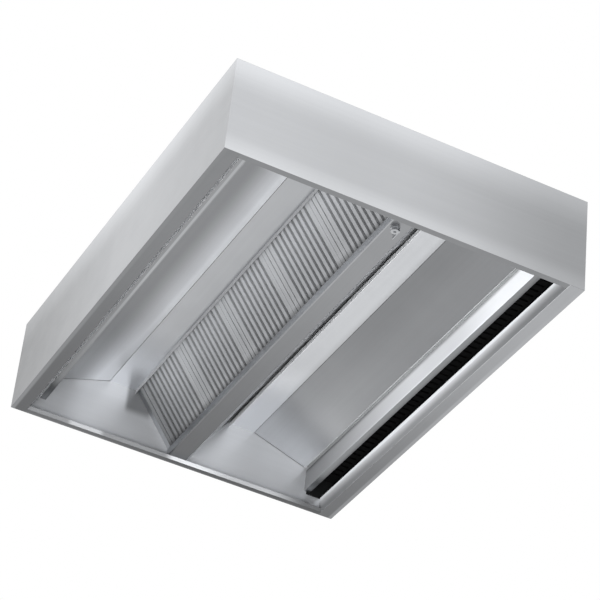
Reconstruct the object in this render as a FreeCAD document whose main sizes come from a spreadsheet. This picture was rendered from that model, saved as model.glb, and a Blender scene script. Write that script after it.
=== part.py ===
"""Island canopy hood with a V bank of baffle filters and make-up air slots.

Sizes are in millimetres. X runs along the filter bank, Y across it, Z up.
The origin is the middle of the rim plane. Every piece that stands on both
long sides is built once on the +Y side ("rear") and turned half a turn about
Z for the -Y side ("front"); the ends are treated the same way.
"""
import FreeCAD, Part
import os
import re
import Sketcher

DIMENSIONS = (
    ("sheet", 1.2, "thickness of the stainless sheet"),
    ("filters_per_side", 5, "filters along each side of the V"),
    ("filter_width", 500, "filter along the bank"),
    ("filter_length", 400, "filter up the slope"),
    ("filter_depth", 25, "filter thickness"),
    ("filter_gap", 6, "gap between neighbouring filters"),
    ("filter_slope", 52.5, "slope of the V bank in degrees"),
    ("filter_sheet", 1, "sheet of the filter frame and baffles"),
    ("frame_side_flange", 29.5, "front flange at the filter's sides"),
    ("frame_end_flange", 12, "front flange at the filter's top and foot"),
    ("frame_back_side", 46, "back flange at the filter's sides"),
    ("frame_back_end", 20, "back flange at the filter's top and foot"),
    ("frame_drain_radius", 4, "drain holes in the filter's foot"),
    ("baffle_pitch", 43.5, "spacing of the baffles"),
    ("front_baffle_width", 23, "face of a front baffle"),
    ("end_baffle_width", 33.2, "face of the front baffle at a filter's side"),
    ("rear_baffle_width", 29, "face of a rear baffle"),
    ("baffle_leg", 9, "folded edge of a baffle"),
    ("baffle_end_clearance", 0.3, "baffle end to the frame"),
    ("filter_lift", 20, "travel that lifts a filter off its rest"),
    ("foot_clearance", 0.3, "filter foot to its rest"),
    ("channel_clearance", 3, "filter faces to the upper channel"),
    ("channel_headroom", 4, "lifted filter to the channel's roof"),
    ("channel_overlap", 15, "channel's back leg over the filter"),
    ("channel_base", 26, "channel flange on the ceiling"),
    ("filter_top_cover", 14, "filter top above the ceiling plane"),
    ("end_zone", 35, "end wall face to the filter bank"),
    ("cheek_clearance", 0.5, "end filter to the bank's end cheek"),
    ("mouth_clearance", 4.2, "filter face to the ceiling's edge"),
    ("mouth_lip", 25, "downturned lip of the inner ceiling"),
    ("ceiling_strip", 153, "flat inner ceiling"),
    ("panel_run", 343, "ceiling strip to the plenum face"),
    ("panel_setback", 11, "plenum face to the panel's low edge"),
    ("panel_rise", 14, "plenum face's top to the panel's low edge"),
    ("panel_lip", 8, "downturned lip of the sloped panel"),
    ("panel_top_gap", 2.3, "sloped panel to the ceiling's fold"),
    ("panel_end_gap", 4, "sloped panel to the end walls"),
    ("backing_gap", 14, "sloped panel to its backing"),
    ("backing_flange", 20, "backing's flange on the divider"),
    ("stud_radius", 6, "studs that carry the sloped panel"),
    ("face_height", 133, "vertical face of the supply plenum"),
    ("ledge_width", 18, "ledge at the top of the plenum face"),
    ("slot_lip_width", 35, "plenum floor beside the air slot"),
    ("slot_lip_rise", 12, "air slot's inner lip above the riser"),
    ("slot_hem", 32, "upturned edge of the slot's inner lip"),
    ("slot_width", 66, "air slot"),
    ("rim_width", 81, "flat rim on the long sides"),
    ("riser_height", 105, "riser at the inner edge of the rim"),
    ("riser_hem", 12, "folded hem of the riser"),
    ("end_rim_width", 34, "flat rim on the short sides"),
    ("end_lip_height", 25, "upturned lip on the short sides"),
    ("top_flange", 25, "flanges under the roof"),
    ("corner_notch", 0.5, "divider's notched top to the end wall's flange"),
    ("headroom", 166.7, "ceiling plane to the top of the roof"),
    ("diffuser_drop", 25, "air diffuser below the plenum face's top"),
    ("diffuser_flange", 15, "upturned edge of the diffuser"),
    ("diffuser_slot_width", 14, "slots in the diffuser"),
    ("diffuser_slot_pitch", 50, "spacing of the diffuser's slots"),
    ("diffuser_margin", 20, "diffuser slot's end to the walls"),
    ("trough_half_width", 54.4, "half width of the grease trough"),
    ("trough_height", 51, "height of the grease trough"),
    ("trough_bevel", 6, "bevelled lower edges of the trough"),
    ("foot_inset", 6.4, "filter foot inside the trough's wall"),
    ("foot_sink", 6, "filter foot below the trough's edge"),
    ("rest_stand", 14, "filter rest above the trough's floor"),
    ("rest_reach", 3, "filter rest beyond the filter's back"),
    ("cheek_reach", 6, "end cheek's foot beyond the filter's back"),
    ("exhaust_radius", 200, "outside radius of an exhaust collar"),
    ("exhaust_offset", 650, "exhaust collar from the middle"),
    ("supply_radius", 157.5, "outside radius of a supply collar"),
    ("collar_height", 60, "collars above the roof"),
    ("collar_flange", 25, "collar's flange on the roof"),
    ("slide_sheet", 1.5, "damper slide's thickness"),
    ("slide_overlap", 10, "closed slide beyond its opening"),
    ("slide_park_gap", 2, "open slide to its opening"),
    ("slide_side_gap", 0.5, "slide's edge to its guide"),
    ("slide_float", 0.4, "slide above the guide's lip"),
    ("guide_lip", 9.5, "guide's lip under the slide"),
    ("guide_height", 8.8, "guide below the roof"),
    ("guide_flange", 20, "guide's flange under the roof"),
    ("guide_tail", 1, "guide beyond the parked slide"),
    ("pull_tab_height", 20, "slide's pull tab"),
    ("pull_tab_width", 70, "slide's pull tab"),
    ("hanger_inset_x", 100, "hanger hole from the end wall"),
    ("hanger_inset_y", 115, "hanger hole from the long wall"),
    ("bracket_plate", 3, "hanger bracket's thickness"),
    ("bracket_width", 50, "hanger bracket along X"),
    ("bracket_rise", 35, "hanger bracket's clear height"),
    ("bracket_top", 60, "hanger bracket's raised part"),
    ("bracket_foot", 35, "hanger bracket's feet"),
    ("hanger_hole_radius", 5.5, "hole for the hanging rod"),
    ("bolt_radius", 4, "bracket bolts"),
    ("bolt_hole_clearance", 0.3, "bolts to their holes"),
    ("bolt_head_across", 13, "bolt head and nut across flats"),
    ("bolt_head_height", 5.3, "bolt head"),
    ("bolt_nut_height", 6.5, "bolt nut"),
    ("bolt_tail", 3, "bolt's end beyond its nut"),
    ("nut_clearance", 0.1, "threads to their nuts"),
    ("rivet_radius", 2.4, "roof rivets"),
    ("rivet_hole_clearance", 0.1, "rivets to their holes"),
    ("rivet_head_radius", 4.8, "rivet heads"),
    ("rivet_head_height", 1.4, "rivet heads"),
    ("rivet_tail_radius", 3.6, "rivets' set ends"),
    ("rivet_tail_height", 2, "rivets' set ends"),
    ("rivet_margin", 110, "first and last rivet from the row's end"),
    ("drain_from_end", 114, "drain cock from the end wall"),
    ("drain_offset", 15, "drain cock from the trough's middle"),
    ("drain_thread_radius", 10, "cock's thread"),
    ("drain_hole_clearance", 0.2, "cock's thread to its hole"),
    ("drain_thread_length", 10, "cock's thread above its hexagon"),
    ("drain_hexagon_across", 40, "cock's hexagon across flats"),
    ("drain_hexagon_height", 4.5, "cock's hexagon"),
    ("drain_body_radius", 15.5, "cock's barrel"),
    ("drain_barrel_height", 14, "cock's barrel"),
    ("drain_outlet_radius", 20, "cock's outlet ring"),
    ("drain_outlet_height", 5, "cock's outlet ring"),
    ("drain_socket_radius", 8, "socket in the cock's outlet"),
    ("drain_socket_depth", 3.5, "socket in the cock's outlet"),
    ("drain_bore_radius", 5, "cock's waterway"),
    ("drain_ball_radius", 8, "cock's ball"),
    ("drain_ball_clearance", 0.3, "ball to its seat"),
    ("drain_stem_radius", 3, "ball's stem"),
    ("drain_stem_clearance", 0.08, "stem to its gland"),
    ("drain_gland_radius", 6, "stem's gland"),
    ("drain_gland_reach", 20, "gland's end from the cock's axis"),
    ("drain_nut_across", 32, "lock nut across flats"),
    ("drain_nut_height", 5, "lock nut"),
    ("lever_gap", 0.4, "gland's end to the lever"),
    ("lever_length", 62, "lever from the stem"),
    ("lever_width", 12, "lever"),
    ("lever_plate", 3, "lever's thickness"),
    ("lever_boss_radius", 8.5, "lever's boss"),
    ("lever_hole_radius", 2.5, "hole in the lever's end"),
)

FRONT_BAFFLES = 10
RIVETS_PER_LONG_ROW = 9
RIVETS_PER_END_ROW = 5
STUDS_PER_ROW = 6
FRAME_DRAINS = 3
DIFFUSER_SLOTS = 49
STUD_ROWS = (0.15, 0.85)
HALF_TURN = 180
START_ANGLE = 45

NAMES = {name for name, value, note in DIMENSIONS}
FILTERS = int(dict((name, value) for name, value, note in DIMENSIONS)["filters_per_side"])

# Places along X
PITCH = "(filter_width + filter_gap)"
BANK_END = f"(filters_per_side * {PITCH} / 2)"
HALF_LENGTH = f"({BANK_END} + end_zone)"
INNER_END = f"({HALF_LENGTH} - sheet)"
TROUGH_INNER_END = f"({INNER_END} - sheet)"
CHEEK_FACE = f"({BANK_END} - filter_gap / 2 + cheek_clearance)"

# Heights and the V bank's section
FLOOR = "end_lip_height"
TROUGH_TOP = f"({FLOOR} + trough_height)"
FOOT_Y = "(trough_half_width - foot_inset)"
FOOT_Z = f"({TROUGH_TOP} - foot_sink)"
CEILING = f"({FOOT_Z} + filter_length * sin(filter_slope) - filter_top_cover)"
TOP = f"({CEILING} + headroom)"
ROOF_UNDER = f"({TOP} - sheet)"

# Places across, from the middle outwards
MOUTH = (f"({FOOT_Y} + ({CEILING} + sheet - {FOOT_Z}) / tan(filter_slope)"
         " + mouth_clearance + sheet)")
DIVIDER = f"({MOUTH} + ceiling_strip)"
DIVIDER_OUT = f"({DIVIDER} + sheet)"
FACE = f"({DIVIDER} + panel_run)"
SLOT_IN = f"({FACE} + slot_lip_width)"
RISER = f"({SLOT_IN} + slot_width)"
HALF_DEPTH = f"({RISER} + rim_width)"
INNER_DEPTH = f"({HALF_DEPTH} - sheet)"
SUPPLY_Y = f"(({DIVIDER_OUT} + {INNER_DEPTH}) / 2)"

# The supply plenum's section
SLOT_LIP_Z = "(riser_height + slot_lip_rise)"
FACE_TOP = f"({SLOT_LIP_Z} + face_height)"
PANEL_LOW_Y = f"({FACE} - panel_setback)"
PANEL_LOW_Z = f"({FACE_TOP} + panel_rise)"
PANEL_TOP_Y = f"({DIVIDER_OUT} + panel_top_gap)"
PANEL_GRADE = f"(({CEILING} - {PANEL_LOW_Z}) / ({PANEL_LOW_Y} - {PANEL_TOP_Y}))"
PANEL_STRETCH = f"sqrt(1 + {PANEL_GRADE} ^ 2)"
BACKING_LEG = f"({FACE} + ledge_width - 2 * sheet)"
DIFFUSER_Z = f"({FACE_TOP} - diffuser_drop)"

# The drain cock
DRAIN_X = f"({HALF_LENGTH} - drain_from_end)"
DRAIN_Y = "(-drain_offset)"
DRAIN_BALL_Z = f"({FLOOR} - drain_hexagon_height - drain_barrel_height / 2)"
LEVER_NEAR = f"({DRAIN_Y} + drain_gland_reach + lever_gap)"
LEVER_FAR = f"({LEVER_NEAR} + lever_plate)"

doc = FreeCAD.newDocument("island_canopy_hood")
pieces = []


def make_sheet():
    """The spreadsheet with the driving dimensions."""
    table = doc.addObject("Spreadsheet::Sheet", "dims")
    for row, (name, value, note) in enumerate(DIMENSIONS, start=1):
        table.set(f"A{row}", note)
        table.set(f"B{row}", str(value))
        table.setAlias(f"B{row}", name)
    doc.recompute()
    return table


def bound(text):
    """The expression with every dimension's name pointed at the sheet."""
    return re.sub(r"[a-z_]+", lambda word: "dims." + word[0] if word[0] in NAMES else word[0],
                  str(text))


def place(item, x=0, y=0, z=0):
    """Binds an object's position."""
    for axis, value in (("x", x), ("y", y), ("z", z)):
        item.setExpression(f"Placement.Base.{axis}", bound(value))
    return item


def tilt(item, angle):
    """Turns an object about its own X axis by a bound angle."""
    base = item.Placement.Base
    item.Placement = FreeCAD.Placement(base, FreeCAD.Rotation(FreeCAD.Vector(1, 0, 0), START_ANGLE))
    item.setExpression("Placement.Rotation.Angle", bound(angle))
    return item


def block(name, x, y, z):
    """A box between two bounds on each axis."""
    item = doc.addObject("Part::Box", name)
    for size, (low, high) in (("Length", x), ("Width", y), ("Height", z)):
        item.setExpression(size, bound(f"({high}) - ({low})"))
    return place(item, x[0], y[0], z[0])


def rod(name, radius, length, x=0, y=0, z=0):
    """A cylinder along Z, from its lower end."""
    item = doc.addObject("Part::Cylinder", name)
    item.setExpression("Radius", bound(radius))
    item.setExpression("Height", bound(length))
    return place(item, x, y, z)


def cross_rod(name, radius, length, x, y, z):
    """A cylinder along +Y, from its lower end."""
    item = rod(name, radius, length, x, y, z)
    item.Placement.Rotation = FreeCAD.Rotation(FreeCAD.Vector(1, 0, 0), -90)
    return place(item, x, y, z)


def hexagon(name, across, height, x=0, y=0, z=0):
    """A hexagonal prism along Z, sized across its flats."""
    item = doc.addObject("Part::Prism", name)
    item.Polygon = 6
    item.setExpression("Circumradius", bound(f"({across}) / sqrt(3)"))
    item.setExpression("Height", bound(height))
    return place(item, x, y, z)


def fuse(name, items):
    item = doc.addObject("Part::MultiFuse", name)
    item.Shapes = items
    return item


def cut(name, base, tool):
    item = doc.addObject("Part::Cut", name)
    item.Base = base
    item.Tool = tool
    return item


def group(name, items):
    item = doc.addObject("Part::Compound", name)
    item.Links = items
    return item


def copy_at(name, original, x=0, y=0, z=0):
    return place(group(name, [original]), x, y, z)


def turned(name, original):
    """The same piece, half a turn round about Z."""
    item = group(name, [original])
    turn = FreeCAD.Rotation(FreeCAD.Vector(0, 0, 1), HALF_TURN)
    item.Placement = FreeCAD.Placement(FreeCAD.Vector(0, 0, 0), turn)
    return item


def piece(label, item):
    """Registers an object as a piece of the hood under its own label."""
    item.Label = label
    pieces.append(item)
    return item


def pair(label, item, names=("rear", "front")):
    """A piece and its half-turned twin."""
    piece(f"{label}_{names[0]}", item)
    piece(f"{label}_{names[1]}", turned(f"{label}_{names[1]}_turned", item))


def origin_plane(body, role):
    return next(item for item in body.Origin.OriginFeatures if item.Role == role)


def draw_outline(sketch, outline):
    """A closed outline whose corners are bound to the sheet."""
    count = len(outline)
    for corner in range(count):
        start = FreeCAD.Vector(10 * corner, 5 * (corner % 2) + corner, 0)
        end = FreeCAD.Vector(10 * corner + 9, 5 * (corner % 2) + corner + 1, 0)
        sketch.addGeometry(Part.LineSegment(start, end), False)
    for corner in range(count):
        sketch.addConstraint(Sketcher.Constraint("Coincident", corner, 2, (corner + 1) % count, 1))
    for corner, (across, up) in enumerate(outline):
        for kind, value in (("DistanceX", across), ("DistanceY", up)):
            index = sketch.addConstraint(Sketcher.Constraint(kind, -1, 1, corner, 1, 1.0))
            sketch.setExpression(f"Constraints[{index}]", bound(value))


def sketch_on(body, role, name, outline, offset=0):
    sketch = body.newObject("Sketcher::SketchObject", name)
    sketch.AttachmentSupport = (origin_plane(body, role), [""])
    sketch.MapMode = "FlatFace"
    sketch.setExpression("AttachmentOffset.Base.z", bound(offset))
    draw_outline(sketch, outline)
    return sketch


def run(name, outline, ends):
    """A piece of one section along X; the outline is (y, z) corners."""
    body = doc.addObject("PartDesign::Body", name)
    low, high = ends
    sketch = sketch_on(body, "YZ_Plane", f"{name}_section", outline, low)
    pad = body.newObject("PartDesign::Pad", f"{name}_pad")
    pad.Profile = sketch
    pad.setExpression("Length", bound(f"({high}) - ({low})"))
    sketch.Visibility = False
    return body


def turning(name, outline):
    """A round piece about Z; the outline is (radius, z) corners."""
    body = doc.addObject("PartDesign::Body", name)
    sketch = sketch_on(body, "XZ_Plane", f"{name}_section", outline)
    spin = body.newObject("PartDesign::Revolution", f"{name}_turn")
    spin.Profile = sketch
    spin.ReferenceAxis = (sketch, ["V_Axis"])
    spin.Angle = 360
    return body


def full_length():
    return (f"-{INNER_END}", INNER_END)


def along(count, step, half_span):
    """The place of one of a row of equal steps between two ends."""
    return f"(-({half_span}) + {step} * 2 * ({half_span}) / {count - 1})"


# ---------------------------------------------------------------- shell

def side_walls():
    """Outer wall, rim, riser with its hem, and roof flange from one sheet."""
    outline = (
        (HALF_DEPTH, 0),
        (RISER, 0),
        (RISER, "riser_height"),
        (f"{RISER} + 2 * sheet", "riser_height"),
        (f"{RISER} + 2 * sheet", "riser_height - riser_hem"),
        (f"{RISER} + sheet", "riser_height - riser_hem"),
        (f"{RISER} + sheet", "sheet"),
        (INNER_DEPTH, "sheet"),
        (INNER_DEPTH, f"{ROOF_UNDER} - sheet"),
        (f"{HALF_DEPTH} - top_flange", f"{ROOF_UNDER} - sheet"),
        (f"{HALF_DEPTH} - top_flange", ROOF_UNDER),
        (HALF_DEPTH, ROOF_UNDER),
    )
    solid = run("side_wall_sheet", outline, full_length())
    holes = rivet_holes("side_wall_holes", side_rivet_places())
    pair("side_wall", cut("side_wall_rear_part", solid, holes))


def end_walls():
    """End wall with its short rim, lip and roof flange."""
    lip_from = f"({HALF_LENGTH} - end_rim_width)"
    wall = block("end_wall_plate", (INNER_END, HALF_LENGTH), (f"-{HALF_DEPTH}", HALF_DEPTH), (0, ROOF_UNDER))
    rim = block("end_wall_rim", (lip_from, INNER_END), (f"-{RISER}", RISER), (0, "sheet"))
    lip = block("end_wall_lip", (lip_from, f"{lip_from} + sheet"), (f"-{RISER}", RISER), (0, FLOOR))
    flange_half = f"({HALF_DEPTH} - top_flange)"
    flange = block("end_wall_flange", (f"{HALF_LENGTH} - top_flange", INNER_END),
                   (f"-{flange_half}", flange_half), (f"{ROOF_UNDER} - sheet", ROOF_UNDER))
    solid = fuse("end_wall_sheet", [wall, rim, lip, flange])
    holes = rivet_holes("end_wall_holes", end_rivet_places())
    pair("end_wall", cut("end_wall_right_part", solid, holes), ("right", "left"))


def roof():
    """Roof sheet with its duct, bolt and rivet holes."""
    plate = block("roof_plate", (f"-{HALF_LENGTH}", HALF_LENGTH), (f"-{HALF_DEPTH}", HALF_DEPTH),
                  (ROOF_UNDER, TOP))
    through = "3 * sheet"
    below = f"{ROOF_UNDER} - sheet"
    exhaust = "exhaust_radius - sheet"
    supply = "supply_radius - sheet"
    holes = []
    for side in ("-", ""):
        holes.append(rod("exhaust_hole", exhaust, through, f"{side}exhaust_offset", 0, below))
        holes.append(rod("supply_hole", supply, through, 0, f"{side}{SUPPLY_Y}", below))
    for x, y in bolt_places():
        holes.append(rod("bolt_hole", "bolt_radius + bolt_hole_clearance", through, x, y, below))
    rivets = rivet_holes("roof_rivet_holes", all_rivet_places())
    piece("roof_panel", cut("roof_sheet", plate, group("roof_holes", holes + [rivets])))


# ---------------------------------------------------------------- rivets

def long_row(y):
    half_span = f"({INNER_END} - rivet_margin)"
    return [(along(RIVETS_PER_LONG_ROW, step, half_span), y) for step in range(RIVETS_PER_LONG_ROW)]


def side_rivet_places():
    return long_row(f"({HALF_DEPTH} - top_flange / 2)")


def divider_rivet_places():
    return long_row(f"({DIVIDER_OUT} + top_flange / 2)")


def end_rivet_places():
    half_span = f"({HALF_DEPTH} - top_flange - rivet_margin)"
    x = f"({HALF_LENGTH} - top_flange / 2)"
    return [(x, along(RIVETS_PER_END_ROW, step, half_span)) for step in range(RIVETS_PER_END_ROW)]


def all_rivet_places():
    """The rows on the +Y side and the +X end, and their half-turned twins."""
    places = side_rivet_places() + divider_rivet_places() + end_rivet_places()
    return places + [(f"-({x})", f"-({y})") for x, y in places]


def rivet_holes(name, places):
    radius = "rivet_radius + rivet_hole_clearance"
    return group(name, [rod("rivet_hole", radius, "4 * sheet", x, y, f"{ROOF_UNDER} - 2 * sheet")
                        for x, y in places])


def rivets():
    """Blind rivets that hold the roof on the flanges."""
    head = rod("rivet_head", "rivet_head_radius", "rivet_head_height", 0, 0, TOP)
    low = f"({ROOF_UNDER} - sheet - rivet_tail_height)"
    tail = rod("rivet_tail", "rivet_tail_radius", "rivet_tail_height", 0, 0, low)
    length = "2 * sheet + rivet_tail_height + rivet_head_height / 2"
    shank = rod("rivet_shank", "rivet_radius", length, 0, 0, low)
    rivet = fuse("rivet", [head, shank, tail])
    copies = [copy_at("rivet_copy", rivet, x, y) for x, y in all_rivet_places()]
    piece("roof_rivets", group("rivet_rows", copies))


# ---------------------------------------------------------------- supply plenum

def plenum_faces():
    """Slot lip, vertical face and ledge from one sheet."""
    outline = (
        (FACE, SLOT_LIP_Z),
        (SLOT_IN, SLOT_LIP_Z),
        (SLOT_IN, f"{SLOT_LIP_Z} + slot_hem"),
        (f"{SLOT_IN} - sheet", f"{SLOT_LIP_Z} + slot_hem"),
        (f"{SLOT_IN} - sheet", f"{SLOT_LIP_Z} + sheet"),
        (f"{FACE} + sheet", f"{SLOT_LIP_Z} + sheet"),
        (f"{FACE} + sheet", f"{FACE_TOP} - sheet"),
        (f"{FACE} + ledge_width", f"{FACE_TOP} - sheet"),
        (f"{FACE} + ledge_width", FACE_TOP),
        (FACE, FACE_TOP),
    )
    pair("plenum_face", run("plenum_face_sheet", outline, full_length()))


def backing_under(y):
    """Height of the backing's underside at a place across."""
    return (f"({PANEL_LOW_Z} + {PANEL_GRADE} * ({PANEL_LOW_Y} - ({y}))"
            f" + (sheet + backing_gap) * {PANEL_STRETCH})")


def plenum_backings():
    """Sloped wall of the plenum behind the removable panel."""
    leg_out = f"{BACKING_LEG} + sheet"
    flange_in = f"{DIVIDER_OUT} + sheet"
    thick = f"sheet * {PANEL_STRETCH}"
    flange_top = f"{backing_under(DIVIDER_OUT)} + {thick} + backing_flange"
    outline = (
        (BACKING_LEG, FACE_TOP),
        (leg_out, FACE_TOP),
        (leg_out, f"{backing_under(leg_out)} + {thick}"),
        (flange_in, f"{backing_under(flange_in)} + {thick}"),
        (flange_in, flange_top),
        (DIVIDER_OUT, flange_top),
        (DIVIDER_OUT, backing_under(DIVIDER_OUT)),
        (BACKING_LEG, backing_under(BACKING_LEG)),
    )
    pair("plenum_backing", run("plenum_backing_sheet", outline, full_length()))


def sloped_panels():
    """Removable sloped panel with a downturned lip at its low edge."""
    lip_in = f"{PANEL_LOW_Y} - sheet"
    outline = (
        (PANEL_LOW_Y, f"{PANEL_LOW_Z} - panel_lip"),
        (lip_in, f"{PANEL_LOW_Z} - panel_lip"),
        (lip_in, f"{PANEL_LOW_Z} + {PANEL_GRADE} * sheet"),
        (PANEL_TOP_Y, CEILING),
        (PANEL_TOP_Y, f"{CEILING} + sheet * {PANEL_STRETCH}"),
        (PANEL_LOW_Y, f"{PANEL_LOW_Z} + sheet * {PANEL_STRETCH}"),
    )
    half = f"({INNER_END} - panel_end_gap)"
    pair("sloped_panel", run("sloped_panel_sheet", outline, (f"-{half}", half)))


def panel_studs():
    """Studs square to the sloped panel, between it and its backing."""
    studs = []
    for share in STUD_ROWS:
        y = f"({PANEL_LOW_Y} - {share} * ({PANEL_LOW_Y} - {PANEL_TOP_Y}))"
        z = f"({PANEL_LOW_Z} + {PANEL_GRADE} * ({PANEL_LOW_Y} - {y}) + sheet * {PANEL_STRETCH})"
        for step in range(STUDS_PER_ROW):
            x = along(STUDS_PER_ROW, step, f"{INNER_END} - panel_end_gap - rivet_margin")
            stud = rod("panel_stud", "stud_radius", "backing_gap", x, y, z)
            studs.append(tilt(stud, f"-atan({PANEL_GRADE})"))
    pair("panel_studs", group("panel_stud_rows", studs))


def inner_ceilings():
    """Mouth lip, flat inner ceiling and the divider up to the roof."""
    flange_end = f"{DIVIDER_OUT} + top_flange"
    outline = (
        (MOUTH, f"{CEILING} - mouth_lip"),
        (f"{MOUTH} - sheet", f"{CEILING} - mouth_lip"),
        (f"{MOUTH} - sheet", f"{CEILING} + sheet"),
        (DIVIDER, f"{CEILING} + sheet"),
        (DIVIDER, ROOF_UNDER),
        (flange_end, ROOF_UNDER),
        (flange_end, f"{ROOF_UNDER} - sheet"),
        (DIVIDER_OUT, f"{ROOF_UNDER} - sheet"),
        (DIVIDER_OUT, CEILING),
        (MOUTH, CEILING),
    )
    solid = run("inner_ceiling_sheet", outline, full_length())
    holes = [rivet_holes("inner_ceiling_holes", divider_rivet_places())]
    notch_from = f"({HALF_LENGTH} - top_flange - corner_notch)"
    across = (f"{DIVIDER} - sheet", f"{flange_end} + sheet")
    upright = (f"{ROOF_UNDER} - sheet - corner_notch", TOP)
    for ends in ((notch_from, HALF_LENGTH), (f"-{HALF_LENGTH}", f"-{notch_from}")):
        holes.append(block("inner_ceiling_notch", ends, across, upright))
    pair("inner_ceiling", cut("inner_ceiling_rear_part", solid, group("inner_ceiling_cuts", holes)))


def air_diffusers():
    """Slotted plate across the plenum that evens out the air."""
    low_y = f"({FACE} + sheet)"
    outline = (
        (low_y, DIFFUSER_Z),
        (INNER_DEPTH, DIFFUSER_Z),
        (INNER_DEPTH, f"{DIFFUSER_Z} + diffuser_flange"),
        (f"{INNER_DEPTH} - sheet", f"{DIFFUSER_Z} + diffuser_flange"),
        (f"{INNER_DEPTH} - sheet", f"{DIFFUSER_Z} + sheet"),
        (f"{low_y} + sheet", f"{DIFFUSER_Z} + sheet"),
        (f"{low_y} + sheet", f"{DIFFUSER_Z} + diffuser_flange"),
        (low_y, f"{DIFFUSER_Z} + diffuser_flange"),
    )
    solid = run("air_diffuser_sheet", outline, full_length())
    slots = []
    half = "diffuser_slot_width / 2"
    for step in range(DIFFUSER_SLOTS):
        middle = f"({step - (DIFFUSER_SLOTS - 1) / 2}) * diffuser_slot_pitch"
        slots.append(block("diffuser_slot", (f"{middle} - {half}", f"{middle} + {half}"),
                           (f"{low_y} + diffuser_margin", f"{INNER_DEPTH} - diffuser_margin"),
                           (f"{DIFFUSER_Z} - sheet", f"{DIFFUSER_Z} + 2 * sheet")))
    pair("air_diffuser", cut("air_diffuser_rear_part", solid, group("diffuser_slots", slots)))


# ---------------------------------------------------------------- V bank

def filter_channels():
    """Upper channel that a filter's top edge slides into."""
    roof_at = "(filter_length + filter_lift + channel_headroom)"
    reach = "(channel_clearance + sheet)"
    leg_from = f"(({CEILING} + sheet - {FOOT_Z} + {reach} * cos(filter_slope)) / sin(filter_slope))"
    ends = full_length()
    top = f"({roof_at} + sheet)"
    front_leg = block("channel_front_leg", ends, (leg_from, top), (f"-{reach}", "-channel_clearance"))
    cap = block("channel_cap", ends, (roof_at, top), (f"-{reach}", f"filter_depth + {reach}"))
    back_leg = block("channel_back_leg", ends, ("filter_length - channel_overlap", top),
                     ("filter_depth + channel_clearance", f"filter_depth + {reach}"))
    legs = fuse("channel_legs", [front_leg, cap, back_leg])
    tilt(place(legs, 0, FOOT_Y, FOOT_Z), "filter_slope")
    base_from = f"({FOOT_Y} + {leg_from} * cos(filter_slope) + {reach} * sin(filter_slope))"
    base = block("channel_base_flange", ends, (base_from, f"{base_from} + channel_base"),
                 (f"{CEILING} + sheet", f"{CEILING} + 2 * sheet"))
    pair("filter_channel", fuse("filter_channel_sheet", [legs, base]))


def rest_top(y):
    """Height of the filter rest's sloping ledge at a place across."""
    return f"({FOOT_Z} - foot_clearance / sin(filter_slope) + ({FOOT_Y} - ({y})) / tan(filter_slope))"


def filter_rests():
    """Rail inside the trough whose ledge carries the filters' feet."""
    wall_in = "(trough_half_width - sheet)"
    leg_in = f"({wall_in} - sheet)"
    reach = f"({FOOT_Y} - filter_depth * sin(filter_slope) - rest_reach)"
    thick = "sheet / sin(filter_slope)"
    leg_foot = f"{FLOOR} + sheet + rest_stand"
    outline = (
        (wall_in, leg_foot),
        (leg_in, leg_foot),
        (leg_in, f"{rest_top(leg_in)} - {thick}"),
        (reach, f"{rest_top(reach)} - {thick}"),
        (reach, rest_top(reach)),
        (wall_in, rest_top(wall_in)),
    )
    pair("filter_rest", run("filter_rest_sheet", outline, (f"-{TROUGH_INNER_END}", TROUGH_INNER_END)))


def bank_cheeks():
    """Hollow cheek that closes each end of the V bank."""
    foot_back = "(filter_depth + cheek_reach)"
    back_y = f"({FOOT_Y} - {foot_back} * sin(filter_slope))"
    back_z = f"({FOOT_Z} + {foot_back} * cos(filter_slope))"
    top_y = f"({FOOT_Y} + filter_length * cos(filter_slope))"
    top_z = f"({FOOT_Z} + filter_length * sin(filter_slope))"
    outer = (
        (FOOT_Y, FOOT_Z),
        (top_y, top_z),
        (f"-{top_y}", top_z),
        (f"-{FOOT_Y}", FOOT_Z),
        (f"-{back_y}", back_z),
        (back_y, back_z),
    )
    hollow_low = f"({back_z} + sheet)"
    hollow_high = f"({top_z} + sheet)"
    inset = "sheet / sin(filter_slope)"
    low_y = f"({FOOT_Y} + ({hollow_low} - {FOOT_Z}) / tan(filter_slope) - {inset})"
    high_y = f"({FOOT_Y} + ({hollow_high} - {FOOT_Z}) / tan(filter_slope) - {inset})"
    inner = (
        (low_y, hollow_low),
        (high_y, hollow_high),
        (f"-{high_y}", hollow_high),
        (f"-{low_y}", hollow_low),
    )
    solid = run("bank_cheek_block", outer, (CHEEK_FACE, INNER_END))
    hollow = run("bank_cheek_hollow", inner, (f"{CHEEK_FACE} + sheet", f"{INNER_END} + sheet"))
    pair("bank_cheek", cut("bank_cheek_right_part", solid, hollow), ("right", "left"))


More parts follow.
